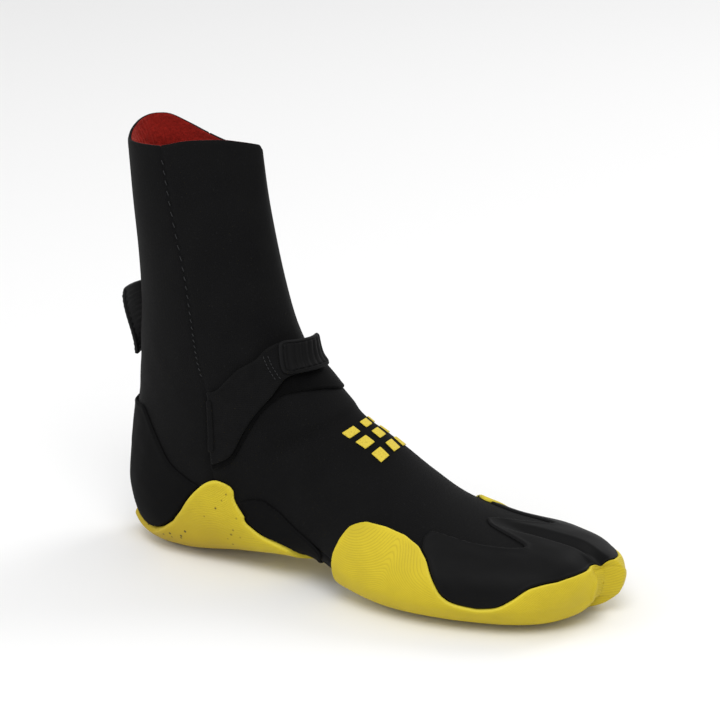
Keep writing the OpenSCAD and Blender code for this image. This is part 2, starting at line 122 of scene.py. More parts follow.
def oval(s, v):
    """The point of oval s at v degrees: 0 is the front or top, 90 the medial side, 180 the back or bottom."""
    c, q = np.cos(np.radians(v)), np.sin(np.radians(v))
    e = 2 / np.where(c >= 0, s[..., 8], s[..., 9])
    w = np.where(q >= 0, s[..., 5], s[..., 4])
    rise = np.abs(c) ** e
    a = np.where(c >= 0, s[..., 7] + (1 - s[..., 7]) * rise, s[..., 7] - s[..., 7] * rise)
    return np.stack([s[..., 2] + (s[..., 0] - s[..., 2]) * a, s[..., 6] + np.sign(q) * w * np.abs(q) ** e,
                     s[..., 3] + (s[..., 1] - s[..., 3]) * a], -1)


def outward(t, v):
    """Unit normal of the last."""
    along = oval(section(t + 0.04), v) - oval(section(t - 0.04), v)
    s = section(t)
    n = np.cross(along, oval(s, v + 1) - oval(s, v - 1))
    n /= np.maximum(np.linalg.norm(n, axis=-1, keepdims=True), 1e-9)
    return np.where((t > TIP_END - 0.1)[..., None], [1.0, 0, 0], n)


def smooth(x):
    u = np.clip(x, 0, 1)
    return u * u * (3 - 2 * u)


def bell(x):
    return (1 + np.cos(np.pi * np.clip(x, 0, 1))) / 2


def skin(t, v, d):
    """A point of the boot's skin at d outside the neoprene's face, with the cleft between the toes."""
    t, v, d = (np.asarray(x, float) for x in np.broadcast_arrays(t, v, d))
    s = section(t)
    p = oval(s, v) + d[..., None] * outward(t, v)
    high = s[..., 1] - s[..., 3]
    cut = np.maximum(0, high - np.maximum(WEB_MIN, CLEFT_WEB * high)) * smooth((t - 13.7) / 1.6)
    side, width = p[..., 1] - s[..., 6], CLEFT_HALF_W - d
    flare = np.where(side < 0, NOTCH_FLARE_LATERAL, NOTCH_FLARE_MEDIAL)
    p[..., 0] -= CLEFT_NOTCH * smooth((t - 16.2) / 2) * bell(np.abs(side) / (width + flare))
    p[..., 0] -= SMALL_TOE_BACK * smooth((t - 15) / 3) * smooth(-side / 8)
    p[..., 2] += cut * bell(np.abs(side) / width) * np.where(np.cos(np.radians(v)) >= 0, -CLEFT_TOP_SHARE,
                                                             1 - CLEFT_TOP_SHARE)
    return p - ORIGIN


# ---- Outlines, in stations (t) and degrees (v), as in the CAD model ----
# They were started from readings that a separate program made, then rounded and changed
STATION_DEG = 30
EDGE_GAP = 1.5
RIM = [[0, -0.1], [20, 0], [45, 0.16], [70, 0.18], [103, 0], [125, -0.14], [150, -0.13], [171, -0.06],
       [190, 0.03], [213, 0.12], [244, 0.05], [268, 0], [278, 0], [285, -0.07], [296, -0.16],
       [320, -0.22], [335, -0.18], [360, -0.1]]
SIDE_SEAM = [[0, 82], [8, 82], [9.7, 106], [TIP_END, 106]]
SOLE_LATERAL = [[8, 103], [8.4, 102], [8.7, 98.8], [8.9, 97], [9.15, 94.5], [9.4, 91], [9.8, 81],
                [10.15, 71], [10.45, 63], [10.7, 54], [10.85, 42], [11, 26], [11.15, 16], [11.3, 14],
                [11.34, 104], [11.5, 111], [11.8, 121], [12.3, 128], [12.8, 132], [13.2, 130], [13.5, 122],
                [13.8, 106], [14.05, 92], [14.3, 86], [14.7, 81], [15, 84], [15.3, 93], [15.6, 109],
                [15.9, 115], [16.3, 122], [16.7, 136], [17, 150], [17.2, 166], [17.3, 190]]
SOLE_MEDIAL = [[8, 103], [8.4, 102], [8.7, 98.8], [9, 96], [9.4, 90], [9.8, 79], [10.2, 65], [10.5, 52],
               [10.8, 36], [11.2, 16], [11.8, 18], [12.4, 34], [12.5, 90], [12.7, 104], [12.9, 116],
               [13.05, 130], [13.2, 142], [13.35, 149], [13.5, 148], [13.65, 138], [13.8, 124], [14, 110],
               [14.3, 99], [14.6, 92], [14.9, 89], [15.3, 88], [15.7, 92], [16, 104], [16.3, 112],
               [16.7, 122], [17, 131], [17.2, 146], [17.3, 190]]
BALL_EDGE = [[0, 11], [13, 11], [16, 11.88], [35, 11.88], [45, 11.84], [60, 11.75], [75, 11.64],
             [90, 11.54], [100, 11.5], [110, 11.52], [116, 11.6]]
BALL_SIDE_FROM = 11.2
HEEL_EDGE = [[0, 7.5], [20, 7.6], [30, 8], [40, 8.2], [52, 8.27], [66, 8.25], [77, 8.07], [87, 7.78],
             [93, 7.62], [96, 7.6], [99, 7.66], [101, 7.83], [103, 8.1], [106, 8.6]]
TOE_EDGE = [[0, 13.85], [5, 14], [12, 14.5], [18, 14.85], [22, 14.95], [26, 14.7], [29, 14.2],
            [31, 13.6], [34, 13.2], [42, 13.15], [52, 13.3], [62, 13.5], [180, 13.7]]
COUNTER_EDGE = [[5.4, 44], [5.6, 52], [6.1, 63], [6.6, 73], [7.1, 84], [7.6, 92]]
ARCH_EDGE = [[8.9, 100], [9.25, 104], [10, 97], [10.6, 88], [11.2, 75], [11.6, 66]]
STRAP_UPPER = [[-76, 4.85], [-67, 4.45], [-58, 4.1], [-45, 3.8], [-37, 3.45], [-26, 3.26], [10, 3.45],
               [20, 3.5]]
STRAP_LOWER = [[-76, 7.1], [-71, 7.05], [-68, 6.6], [-60, 5.9], [-52, 5.35], [-42, 4.8], [-34, 4.5],
               [-26, 4.42], [10, 4.55], [20, 4.6]]
LANDING_UPPER = [[-82, 5], [-72, 5], [-60, 4.3], [-52, 4.1], [-41, 3.75], [-28, 3.6], [0, 3.6],
                 [25, 3.7], [45, 4.2], [60, 4.5], [72, 4.8], [80, 4.9]]
LANDING_LOWER = [[-82, 7.3], [-72, 7.3], [-68, 6.85], [-60, 6.1], [-52, 5.5], [-41, 5.05], [-28, 5.05],
                 [-12, 5.2], [0, 5.5], [12, 5.75], [25, 5.9], [45, 6], [60, 6.2], [72, 6.8], [80, 7.1]]
TAPS = np.array([-1.5, -1, -0.5, 0, 0.5, 1, 1.5])
TAP_WEIGHTS = np.exp(-TAPS**2) / np.exp(-TAPS**2).sum()


def lookup(x, table, blur=0.0, period=None):
    """The table's value at x, with its corners rounded over about blur."""
    xs, ys = np.array(table, float).T
    if not blur:
        return np.interp(x, xs, ys, period=period)
    return sum(w * np.interp(x + k * blur, xs, ys, period=period) for k, w in zip(TAPS, TAP_WEIGHTS))


def from_top(v):
    return np.minimum(v % 360, 360 - v % 360)


def from_bottom(v):
    return 180 - from_top(v)


def lateral(v):
    return v % 360 > 180


def soft_min(a, b, r):
    """The smaller of a and b, with the corner between them rounded."""
    h = np.clip(0.5 + (b - a) / (2 * r), 0, 1)
    return b + (a - b) * h - r * h * (1 - h)


def below_rim(t, v):
    return STATION_DEG * (t - lookup(v % 360, RIM[:-1], 8, 360))


def seam(t):
    return lookup(t, SIDE_SEAM, 0.3)


def in_sole(t, v):
    up = from_bottom(v)
    reach = np.where(lateral(v), lookup(t, SOLE_LATERAL, 0.07), lookup(t, SOLE_MEDIAL, 0.07))
    heel = soft_min(reach - up, STATION_DEG * (t - lookup(up, HEEL_EDGE, 1.5)), 3.0)
    past_ball_edge = STATION_DEG * (t - lookup(up, BALL_EDGE, 1.5))
    ball = np.where(lateral(v) & (t > BALL_SIDE_FROM), past_ball_edge, STATION_DEG)
    return soft_min(heel, ball, 3.0)


def tile_mask(t0, t1, v0, v1, corner):
    """Mask of a four-sided tile with rounded corners."""
    return lambda t, v: soft_min(np.minimum(v - v0, v1 - v), STATION_DEG * np.minimum(t - t0, t1 - t), corner)


def band_mask(upper, lower, a, b):
    """Mask of a strap between its two edges and between angles a and b."""
    def mask(t, v):
        across = STATION_DEG * np.minimum(t - lookup(v, upper, 3), lookup(v, lower, 3) - t)
        return soft_min(across, np.minimum(v - a, b - v), 1.5)
    return mask


# ---- Grids and meshes ----
def spread(values, points, step):
    """Values at equal steps of length along the polyline of points."""
    run = np.concatenate([[0], np.cumsum(np.linalg.norm(np.diff(points, axis=0), axis=1))])
    n = max(2, int(round(run[-1] / step)))
    return np.interp(np.linspace(0, run[-1], n + 1), run, values)


def rows(t0, t1, step, v=270.0):
    t = np.linspace(t0, t1, 900)
    return spread(t, oval(section(t), np.full_like(t, v)), step)


def columns(v0, v1, step, t=14.0):
    v = np.linspace(v0, v1, 1500)
    return spread(v, oval(section(np.full_like(v, t)), v), step)


def arc_lengths(p, axis):
    """Lengths along one axis of a grid of points, from its first line."""
    d = np.linalg.norm(np.diff(p, axis=axis), axis=-1)
    return np.concatenate([np.zeros_like(d.take([0], axis)), np.cumsum(d, axis)], axis)


def waves(p, size, seed):
    """Smooth noise from -1 to 1 at points p, with bumps of about that size in millimetres."""
    rng = np.random.default_rng(seed)
    total = np.zeros(p.shape[:-1])
    for k in range(10):
        direction = rng.normal(size=3)
        direction *= rng.uniform(0.6, 1.5) * 2 * np.pi / (2 * size * np.linalg.norm(direction))
        total += np.sin(p @ direction + rng.uniform(0, 2 * np.pi))
    return np.clip(total / 4, -1, 1)


def set_attribute(mesh, key, values):
    """A value per vertex, a number or a vector."""
    kind = "FLOAT" if values.ndim == 1 else "FLOAT_VECTOR"
    field = "value" if values.ndim == 1 else "vector"
    mesh.attributes.new(key, kind, "POINT").data.foreach_set(field, values.astype(np.float32).ravel())


def mesh_object(name, verts, faces, material_index=None, attributes=None, materials=(), sharp_deg=50):
    """A smooth-shaded mesh object. faces is a list of integer arrays of shape (n, corners); verts in mm."""
    mesh = bpy.data.meshes.new(name)
    totals = np.concatenate([np.full(len(f), f.shape[1]) for f in faces])
    loops = np.concatenate([f.ravel() for f in faces])
    mesh.vertices.add(len(verts))
    mesh.vertices.foreach_set("co", (verts * MM).astype(np.float32).ravel())
    mesh.loops.add(len(loops))
    mesh.loops.foreach_set("vertex_index", loops.astype(np.int32))
    mesh.polygons.add(len(totals))
    mesh.polygons.foreach_set("loop_start", np.concatenate([[0], np.cumsum(totals)[:-1]]).astype(np.int32))
    if material_index is not None:
        mesh.polygons.foreach_set("material_index", material_index.astype(np.int32))
    for key, values in (attributes or {}).items():
        set_attribute(mesh, key, values)
    mesh.update(calc_edges=True)
    mesh.validate()
    mesh.shade_smooth()
    mesh.set_sharp_from_angle(angle=np.radians(sharp_deg))
    for m in materials:
        mesh.materials.append(m)
    obj = bpy.data.objects.new(name, mesh)
    bpy.context.scene.collection.objects.link(obj)
    return obj


def without_repeats(faces):
    """Faces whose corners fell together lose the repeated ones, and go if fewer than 3 are left."""
    kept, short = [], []
    for f in faces:
        bad = (f == np.roll(f, 1, axis=1)).any(axis=1)
        kept.append(f[~bad])
        for ring in f[bad]:
            ring = [a for a, b in zip(ring, np.roll(ring, 1)) if a != b]
            if len(ring) >= 3:
                short.append(ring)
    return kept, short


# Where a mask cuts a grid line, the cut keeps this share of the line's length from either end
CUT_MARGIN = 0.04


def shell(name, row_lines, column_lines, mask, inner, outer, materials, sharp_deg=50):
    """A closed shell over the part of the grid where mask is positive. Its two faces are inner and outer,
    each a function of t, v, the distance to the shell's edge in mm, and the point on the skin.
    The second material is the edge's."""
    T, V = np.meshgrid(row_lines, column_lines, indexing="ij")
    M = mask(T, V) + 1e-9
    base = skin(T, V, 0)
    along, around = arc_lengths(base, 0), arc_lengths(base, 1)
    d_t = np.gradient(M, axis=0) / np.maximum(np.gradient(along, axis=0), 1e-3)
    d_v = np.gradient(M, axis=1) / np.maximum(np.gradient(around, axis=1), 1e-3)
    D = M / np.maximum(np.hypot(d_t, d_v), 1e-2)
    fields = [T, V, D, along, around]
    inside = M > 0
    values = [[f[inside] for f in fields]]
    grid_id = np.full(M.shape, -1)
    grid_id[inside] = np.arange(inside.sum())
    count = inside.sum()
    cut_id = []
    for axis in (0, 1):
        a, b = (M[:-1], M[1:]) if axis == 0 else (M[:, :-1], M[:, 1:])
        cut = (a > 0) != (b > 0)
        share = np.clip(a[cut] / (a[cut] - b[cut]), CUT_MARGIN, 1 - CUT_MARGIN)
        low = [(f[:-1] if axis == 0 else f[:, :-1])[cut] for f in fields]
        high = [(f[1:] if axis == 0 else f[:, 1:])[cut] for f in fields]
        mixed = [x + (y - x) * share for x, y in zip(low, high)]
        mixed[2] = np.zeros_like(share)
        values.append(mixed)
        ids = np.full(cut.shape, -1)
        ids[cut] = count + np.arange(cut.sum())
        count += cut.sum()
        cut_id.append(ids)
    t, v, d, u, w = (np.concatenate([x[k] for x in values]) for k in range(5))
    corner = [grid_id[:-1, :-1], grid_id[1:, :-1], grid_id[1:, 1:], grid_id[:-1, 1:]]
    side = [cut_id[0][:, :-1], cut_id[1][1:], cut_id[0][:, 1:], cut_id[1][:-1]]
    code = sum((c >= 0) * 2**k for k, c in enumerate(corner))
    tops, walls = [], []
    for case in range(1, 16):
        here = code == case
        if not here.any():
            continue
        ring, is_cut = [], []
        for k in range(4):
            if case >> k & 1:
                ring.append(corner[k][here])
                is_cut.append(False)
            if (case >> k & 1) != (case >> (k + 1) % 4 & 1):
                ring.append(side[k][here])
                is_cut.append(True)
        tops.append(np.stack(ring, 1))
        walls += [np.stack([ring[k], ring[(k + 1) % len(ring)]], 1) for k in range(len(ring))
                  if is_cut[k] and is_cut[(k + 1) % len(ring)]]
    point = skin(t, v, 0)
    hi, lo = outer(t, v, d, point), inner(t, v, d, point)
    verts = np.concatenate([hi, lo])
    faces = tops + [f[:, ::-1] + count for f in tops]
    walls = np.concatenate(walls) if walls else np.zeros((0, 2), int)
    faces.append(np.stack([walls[:, 0], walls[:, 0] + count, walls[:, 1] + count, walls[:, 1]], 1))
    _, first, back = np.unique(np.round(verts * 1000).astype(np.int64), axis=0, return_index=True,
                               return_inverse=True)
    back = back.ravel()
    kept, short = without_repeats([back[f] for f in faces])
    index = [np.full(len(f), 1 if k == len(kept) - 1 and len(materials) > 1 else 0)
             for k, f in enumerate(kept)]
    for ring in short:
        kept.append(np.array([ring]))
        index.append(np.zeros(1))
    grain = np.stack([u, w, np.zeros_like(u)], 1) * MM
    attributes = {"grain": np.concatenate([grain, grain])[first], "edge": np.concatenate([d, d])[first] * MM}
    return mesh_object(name, verts[first], kept, np.concatenate(index), attributes, materials, sharp_deg)


def rounded(d, low, high, radius):
    """An outer offset that falls from high towards low in a round over the last stretch before the edge."""
    x = np.clip(d / radius, 0, 1)
    return low + (high - low) * np.sqrt(np.clip(1 - (1 - x) ** 2, 0, 1))


def tube(path, radius, sides=8):
    """Vertices and faces of a thread along a path, with round ends."""
    path = np.asarray(path, float)
    tangent = np.gradient(path, axis=0)
    tangent /= np.linalg.norm(tangent, axis=1, keepdims=True)
    across = np.cross(tangent, [0.31, 0.52, 0.79])
    across /= np.linalg.norm(across, axis=1, keepdims=True)
    over = np.cross(tangent, across)
    share = np.linspace(0, 1, len(path))
    width = radius * np.sqrt(np.clip(1 - np.abs(2 * share - 1) ** 4, 0.02, 1))
    a = np.linspace(0, 2 * np.pi, sides, endpoint=False)
    ring = np.cos(a)[None, :, None] * across[:, None] + np.sin(a)[None, :, None] * over[:, None]
    verts = (path[:, None] + ring * width[:, None, None]).reshape(-1, 3)
    quads = [[i + k, i + (k + 1) % sides, i + sides + (k + 1) % sides, i + sides + k]
             for i in range(0, (len(path) - 1) * sides, sides) for k in range(sides)]
    first = list(range(sides))[::-1]
    last = [(len(path) - 1) * sides + k for k in range(sides)]
    return verts, np.array(quads), np.array([first, last])


def threads(name, paths, radius, material):
    """One object of many short stitches."""
    verts, quads, caps, start = [], [], [], 0
    for path in paths:
        p, q, c = tube(path, radius)
        verts.append(p)
        quads.append(q + start)
        caps.append(c + start)
        start += len(p)
    return mesh_object(name, np.concatenate(verts), [np.concatenate(quads), np.concatenate(caps)],
                       materials=[material], sharp_deg=80)


def place(obj, body, slot, *nodes):
    """The piece rides on the body and stands for these CAD nodes, which are hidden. The slot is not used."""
    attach(obj, body)
    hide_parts(*nodes)
    return obj


# ---- Materials ----
def material(name, roughness, specular=0.5):
    """A new material, its node tree and its shader."""
    mat = bpy.data.materials.new(name)
    mat.use_nodes = True
    tree = mat.node_tree
    shader = next(n for n in tree.nodes if n.type == "BSDF_PRINCIPLED")
    shader.inputs["Roughness"].default_value = roughness
    shader.inputs["Specular IOR Level"].default_value = specular
    return mat, tree, shader


def node(tree, kind, inputs=None, **settings):
    made = tree.nodes.new(kind)
    for key, value in settings.items():
        setattr(made, key, value)
    for key, value in (inputs or {}).items():
        if isinstance(value, bpy.types.NodeSocket):
            tree.links.new(value, made.inputs[key])
        else:
            made.inputs[key].default_value = value
    return made


def place_vector(tree):
    return node(tree, "ShaderNodeTexCoord").outputs["Object"]


def grain_vector(tree):
    return node(tree, "ShaderNodeAttribute", attribute_name="grain").outputs["Vector"]


def noise(tree, vector, size, detail=3.0, roughness=0.55):
    """Noise with features of about that size, in metres."""
    return node(tree, "ShaderNodeTexNoise", {"Vector": vector, "Scale": 1 / size, "Detail": detail,
                                             "Roughness": roughness}).outputs["Fac"]


def ramp(tree, factor, stops):
    """A colour ramp; stops are (place, colour)."""
    made = node(tree, "ShaderNodeValToRGB", {"Fac": factor})
    elements = made.color_ramp.elements
    while len(elements) < len(stops):
        elements.new(0.5)
    for element, (where, colour) in zip(elements, stops):
        element.position = where
        element.color = (*colour, 1)
    return made.outputs["Color"]


def maths(tree, operation, a, b=0.0):
    return node(tree, "ShaderNodeMath", {0: a, 1: b}, operation=operation).outputs[0]


def remap(tree, value, start, end, to_start, to_end):
    """The value's run from start to end, turned into one from to_start to to_end and held beyond."""
    return node(tree, "ShaderNodeMapRange",
                {0: value, 1: start, 2: end, 3: to_start, 4: to_end}).outputs[0]


def mix(tree, factor, a, b):
    made = node(tree, "ShaderNodeMix", {"Factor": factor}, data_type="RGBA")
    for key, value in ((6, a), (7, b)):
        if isinstance(value, bpy.types.NodeSocket):
            tree.links.new(value, made.inputs[key])
        else:
            made.inputs[key].default_value = (*value, 1)
    return made.outputs[2]


def bump(tree, shader, height, strength, distance):
    made = node(tree, "ShaderNodeBump", {"Height": height, "Strength": strength, "Distance": distance})
    tree.links.new(made.outputs["Normal"], shader.inputs["Normal"])


def knit_height(tree, wale, course):
    """Jersey knit: V-shaped loops, in rows across and columns along."""
    u, w, _ = node(tree, "ShaderNodeSeparateXYZ", {0: grain_vector(tree)}).outputs
    column = maths(tree, "MULTIPLY", w, 1 / wale)
    lean = maths(tree, "MULTIPLY", maths(tree, "PINGPONG", column, 0.5), 1.2)
    row = maths(tree, "ADD", maths(tree, "MULTIPLY", u, 1 / course), lean)
    stitch = maths(tree, "SINE", maths(tree, "MULTIPLY", row, 2 * np.pi))
    groove = maths(tree, "ABSOLUTE", maths(tree, "SINE", maths(tree, "MULTIPLY", column, np.pi)))
    return maths(tree, "ADD", maths(tree, "MULTIPLY", stitch, 0.35), groove)


def neoprene_material():
    """Black knit face on foam: matte, faintly mottled."""
    mat, tree, shader = material("neoprene_knit", 0.82, 0.08)
    where = place_vector(tree)
    mottle = noise(tree, where, 0.018, 4)
    lint = noise(tree, where, 0.0011, 2, 0.7)
    base = ramp(tree, mottle, [(0.3, (0.0026, 0.0026, 0.0028)), (0.75, (0.0044, 0.0044, 0.0046))])
    speck = ramp(tree, lint, [(0.62, (0, 0, 0)), (0.8, (1, 1, 1))])
    colour = mix(tree, maths(tree, "MULTIPLY", speck, 0.35), base, (0.02, 0.02, 0.021))
    tree.links.new(colour, shader.inputs["Base Color"])
    rough = node(tree, "ShaderNodeMapRange", {0: mottle, 3: 0.74, 4: 0.9}).outputs[0]
    tree.links.new(rough, shader.inputs["Roughness"])
    shader.inputs["Sheen Weight"].default_value = 0.015
    shader.inputs["Sheen Roughness"].default_value = 0.5
    height = maths(tree, "ADD", knit_height(tree, 0.0011, 0.0009), maths(tree, "MULTIPLY", lint, 1.2))
    bump(tree, shader, height, 0.35, 0.00012)
    return mat


def foam_edge_material():
    """Raw cut edge of the black foam, with its cells."""
    mat, tree, shader = material("neoprene_cut_edge", 0.95, 0.1)
    where = place_vector(tree)
    cells = node(tree, "ShaderNodeTexVoronoi", {"Vector": where, "Scale": 2200}).outputs["Distance"]
    colour = ramp(tree, cells, [(0.1, (0.004, 0.004, 0.004)), (0.7, (0.014, 0.014, 0.015))])
    tree.links.new(colour, shader.inputs["Base Color"])
    bump(tree, shader, cells, 0.6, 0.0002)
    return mat


def plush_material():
    """Red brushed pile, lighter at the fibre tips, with soft patches where it was stroked."""
    mat, tree, shader = material("red_plush", 0.95, 0.15)
    where = place_vector(tree)
    pile = noise(tree, where, 0.0012, 4, 0.75)
    stroke = noise(tree, where, 0.014, 3)
    dark = ramp(tree, pile, [(0.25, (0.12, 0.0045, 0.003)), (0.75, (0.26, 0.011, 0.007))])
    light = ramp(tree, pile, [(0.25, (0.16, 0.0065, 0.004)), (0.75, (0.35, 0.018, 0.011))])
    colour = mix(tree, stroke, dark, light)
    tree.links.new(colour, shader.inputs["Base Color"])
    shader.inputs["Sheen Weight"].default_value = 0.35
    shader.inputs["Sheen Roughness"].default_value = 0.4
    shader.inputs["Sheen Tint"].default_value = (1, 0.25, 0.2, 1)
    bump(tree, shader, pile, 0.9, 0.0006)
    return mat


def rubber_material(name, stops, roughness, specular, speck, edge_highlight, ridge_pitch=None):
    """Moulded rubber: fine grain, slow mottle, specks of dirt, a painted highlight along the edge, and, if
    asked, fine ridges with painted shade in their grooves.
    """
    mat, tree, shader = material(name, roughness, specular)
    where = place_vector(tree)
    mottle = noise(tree, where, 0.022, 5)
    fine = noise(tree, where, 0.0007, 3, 0.6)
    colour = ramp(tree, mottle, stops)
    dirt = ramp(tree, noise(tree, where, 0.0035, 2, 0.8), [(0.76, (0, 0, 0)), (0.84, (1, 1, 1))])
    colour = mix(tree, maths(tree, "MULTIPLY", dirt, 0.3), colour, speck)
    edge = node(tree, "ShaderNodeAttribute", attribute_name="edge").outputs["Fac"]
    # Painted highlight: near the edge the colour is mixed towards a lighter colour, as where light catches a
    # rounded rim
    near = remap(tree, edge, 0.0, 0.0011, 0.5, 0.0)
    colour = mix(tree, near, colour, edge_highlight)
    height = fine
    if ridge_pitch:
        ring = node(tree, "ShaderNodeAttribute", attribute_name="ring").outputs["Fac"]
        wave = maths(tree, "SINE", maths(tree, "MULTIPLY", ring, 2 * np.pi / ridge_pitch))
        away = remap(tree, edge, 0.0012, 0.003, 0.0, 1.0)
        ridge = maths(tree, "MULTIPLY", wave, away)
        height = maths(tree, "ADD", maths(tree, "MULTIPLY", ridge, 0.8), fine)
        # Painted shade: the grooves between the ridges are mixed towards the darker speck colour
        groove = remap(tree, ridge, -0.2, -1.0, 0.0, 0.3)
        colour = mix(tree, groove, colour, speck)
        # The heel is painted darker and browner towards the floor, as painted shade, and has a few small
        # round nicks
        x, _, z = node(tree, "ShaderNodeSeparateXYZ", {0: where}).outputs
        heel = remap(tree, x, -0.045, -0.07, 0.0, 1.0)
        low = remap(tree, z, 0.04, 0.008, 0.0, 0.75)
        colour = mix(tree, maths(tree, "MULTIPLY", heel, low), colour, (0.36, 0.24, 0.008))
        cells = node(tree, "ShaderNodeTexVoronoi", {"Vector": where, "Scale": 165}).outputs["Distance"]
        nick = remap(tree, cells, 0.08, 0.15, 1.0, 0.0)
        nick = maths(tree, "MULTIPLY", nick, heel)
        colour = mix(tree, nick, colour, (0.07, 0.045, 0.004))
        height = maths(tree, "SUBTRACT", height, maths(tree, "MULTIPLY", nick, 3.0))
    tree.links.new(colour, shader.inputs["Base Color"])
    rough = remap(tree, mottle, 0.0, 1.0, roughness - 0.08, roughness + 0.08)
    tree.links.new(rough, shader.inputs["Roughness"])
    bump(tree, shader, height, 0.42 if ridge_pitch else 0.25, 0.00012)
    return mat


def webbing_material(name, dark, light, specular):
    """Elastic webbing: fine cords along its length, crossed by tighter picks."""
    mat, tree, shader = material(name, 0.75, specular)
    u, w, _ = node(tree, "ShaderNodeSeparateXYZ", {0: grain_vector(tree)}).outputs
    cords = maths(tree, "ABSOLUTE", maths(tree, "SINE", maths(tree, "MULTIPLY", u, np.pi / 0.0011)))
    picks = maths(tree, "SINE", maths(tree, "MULTIPLY", w, 2 * np.pi / 0.0008))
    height = maths(tree, "ADD", cords, maths(tree, "MULTIPLY", picks, 0.25))
    lint = noise(tree, place_vector(tree), 0.006, 4)
    base = ramp(tree, lint, [(0.3, dark), (0.75, light)])
    # Painted shade: between the cords the colour is mixed towards near black
    groove = remap(tree, cords, 0.0, 1.0, 0.5, 0.0)
    tree.links.new(mix(tree, groove, base, (0.0014, 0.0014, 0.0015)), shader.inputs["Base Color"])
    shader.inputs["Sheen Weight"].default_value = 0.02
    bump(tree, shader, height, 0.4, 0.00018)
    return mat


def pile_material(name, dark, light, size):
    """Hook or loop tape, foam or woven tape: a fine irregular surface."""
    mat, tree, shader = material(name, 0.9, 0.2)
    where = place_vector(tree)
    fine = noise(tree, where, size, 4, 0.75)
    tree.links.new(ramp(tree, fine, [(0.3, dark), (0.7, light)]), shader.inputs["Base Color"])
    bump(tree, shader, fine, 0.7, 0.0003)
    return mat


def ink_material():
    """Screen print that lets the knit through a little."""
    mat, tree, shader = material("yellow_ink", 0.6, 0.3)
    where = place_vector(tree)
    fine = noise(tree, where, 0.0008, 3, 0.7)
    colour = ramp(tree, fine, [(0.28, (0.42, 0.31, 0.02)), (0.5, (0.62, 0.48, 0.04))])
    tree.links.new(colour, shader.inputs["Base Color"])
    bump(tree, shader, fine, 0.5, 0.00015)
    return mat


NEOPRENE_MAT = neoprene_material()
FOAM_EDGE_MAT = foam_edge_material()
PLUSH_MAT = plush_material()
# The last colour given to each rubber is the colour of the painted highlight along its edges
SOLE_MAT = rubber_material("yellow_sole_rubber",
                           [(0.3, (0.505, 0.39, 0.0098)), (0.75, (0.59, 0.457, 0.0135))],
                           0.6, 0.3, (0.30, 0.21, 0.008), (0.80, 0.68, 0.07), 0.0012)
OVERLAY_MAT = rubber_material("black_overlay_rubber",
                              [(0.3, (0.0022, 0.0022, 0.0024)), (0.75, (0.0042, 0.0042, 0.0044))],
                              0.55, 0.09, (0.010, 0.010, 0.010), (0.008, 0.008, 0.0085))
COUNTER_MAT = rubber_material("black_counter_rubber",
                              [(0.3, (0.0028, 0.0028, 0.003)), (0.75, (0.0046, 0.0046, 0.0048))],
                              0.75, 0.05, (0.006, 0.006, 0.006), (0.004, 0.004, 0.0042))
TAB_MAT = rubber_material("black_tab_rubber",
                          [(0.3, (0.0022, 0.0022, 0.0024)), (0.75, (0.004, 0.004, 0.0042))],
                          0.55, 0.08, (0.012, 0.012, 0.012), (0.012, 0.012, 0.0125))
WEBBING_MAT = webbing_material("elastic_webbing", (0.0026, 0.0026, 0.0028), (0.0046, 0.0046, 0.0048), 0.08)
# The landing webbing is coloured darker than the instep webbing, partly as painted shade under the instep
# strap's lower edge
LANDING_MAT = webbing_material("landing_webbing", (0.0012, 0.0012, 0.0013), (0.0024, 0.0024, 0.0025), 0.04)
FOAM_MAT = pile_material("footbed_foam", (0.012, 0.012, 0.013), (0.035, 0.035, 0.037), 0.001)
TAPE_MAT = pile_material("seam_tape", (0.012, 0.012, 0.013), (0.03, 0.03, 0.031), 0.0006)
HOOK_MAT = pile_material("hook_tape", (0.004, 0.004, 0.0042), (0.012, 0.012, 0.0125), 0.0005)
LOOP_MAT = pile_material("loop_tape", (0.006, 0.006, 0.0063), (0.022, 0.022, 0.023), 0.0009)
THREAD_MAT = pile_material("grey_thread", (0.014, 0.014, 0.015), (0.034, 0.034, 0.036), 0.0004)
INK_MAT = ink_material()

# ---- Neoprene panels: they meet at the seams, where the CAD panels keep a small gap ----
PANEL_END = 17.75
HEEL_SEAM = 8.3


def neoprene_face(t, v, d, p):
    """The knit face: soft slow dents inwards, and a shallow groove along each edge."""
    dent = 0.22 * (1 + waves(p, 26, 3)) * smooth((14 - t) / 3)
    fold = 0.25 * (1 + waves(p * [1, 0.4, 1], 9, 5)) * bell(np.abs(t - 4.6) / 2.2)
    groove = 0.7 * bell(d / 1.8)
    return skin(t, v, -dent - fold * smooth(d / 6) - groove)


RIM_PRESS = 2.2


def rim_press(t, v):
    """How much thinner the foam is pressed at the cut rim, in millimetres."""
    return RIM_PRESS * bell(np.abs(t - lookup(v % 360, RIM[:-1], 8, 360)) / 0.45)


def neoprene_back(t, v, d, p):
    return skin(t, v, -NEOPRENE + rim_press(t, v))


def panel(name, t0, t1, v0, v1, mask):
    obj = shell(name + "_knit", rows(t0, t1, 1.1), columns(v0, v1, 1.0), mask, neoprene_back, neoprene_face,
                [NEOPRENE_MAT, FOAM_EDGE_MAT])
    return place(obj, "boot", "neoprene", name)


panel("front_panel", -0.4, 17.85, -112, 112,
      lambda t, v: np.minimum(np.minimum(below_rim(t, v), seam(t) - from_top(v)),
                              STATION_DEG * (PANEL_END - t)))
panel("heel_panel", -0.4, 8.4, 78, 282,
      lambda t, v: np.minimum(np.minimum(below_rim(t, v), from_top(v) - seam(t)),
                              STATION_DEG * (HEEL_SEAM - t)))
panel("sole_panel", 8.2, 17.85, 78, 282,
      lambda t, v: np.minimum(from_top(v) - seam(t),
                              STATION_DEG * np.minimum(t - HEEL_SEAM, PANEL_END - t)))

